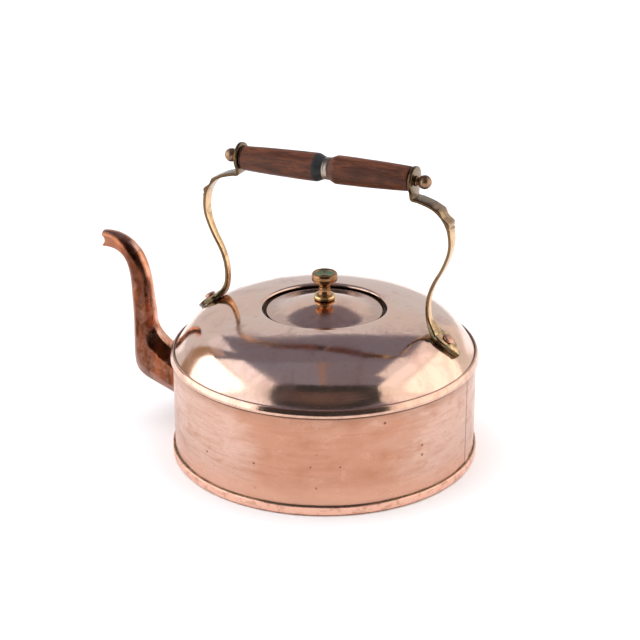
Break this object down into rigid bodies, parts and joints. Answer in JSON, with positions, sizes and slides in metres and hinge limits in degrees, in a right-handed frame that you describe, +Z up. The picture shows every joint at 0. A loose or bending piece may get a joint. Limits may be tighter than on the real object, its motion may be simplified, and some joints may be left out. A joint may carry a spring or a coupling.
{
  "type": "kettle",
  "caption": "Round flat-bottomed copper kettle with a domed shoulder, lift-off lid, gooseneck spout and fixed bail handle with a turned wooden grip.",
  "frame": {"origin": "centre of the flat underside, on the body's axis", "axes": "+Z up along the body's axis; the spout points along -X and the handle runs along X above the lid; Y is across"},
  "size_m": [0.3186, 0.2424, 0.243],
  "materials": {
    "copper_wall": "satin, worn and pitted",
    "copper_polished": "polished",
    "copper_spout": "tarnished red-brown",
    "copper_rivet": "dull copper",
    "brass_knob": "polished, green in its hollow",
    "brass_aged": "aged",
    "brass_finial": "dark bronze-brown",
    "steel_grey": "dull",
    "grip_wood": "turned hardwood, oiled and worn"
  },
  "bodies": {
    "kettle": {"base_plate": "copper_wall", "body_wall": "copper_wall", "dome": "copper_polished", "neck_ring": "copper_polished", "spout": "copper_spout", "handle_strap_front": "brass_aged", "handle_strap_rear": "brass_aged", "rivet_front": "copper_rivet", "rivet_rear": "copper_rivet", "handle_rod": "steel_grey", "grip_barrel_front": "grip_wood", "grip_barrel_rear": "grip_wood", "grip_collar": "steel_grey", "grip_washer_front": "brass_aged", "grip_washer_rear": "brass_aged", "finial_front": "brass_finial", "finial_rear": "brass_finial"},
    "lid": {"lid_cover": "copper_polished", "lid_skirt": "copper_polished", "lid_knob": "brass_knob", "knob_washer": "brass_aged"}
  },
  "joints": [
    {"name": "lid_lift", "type": "slide", "parent": "kettle", "child": "lid", "axis": [0, 0, 1], "range_m": [0, 0.065]}
  ]
}
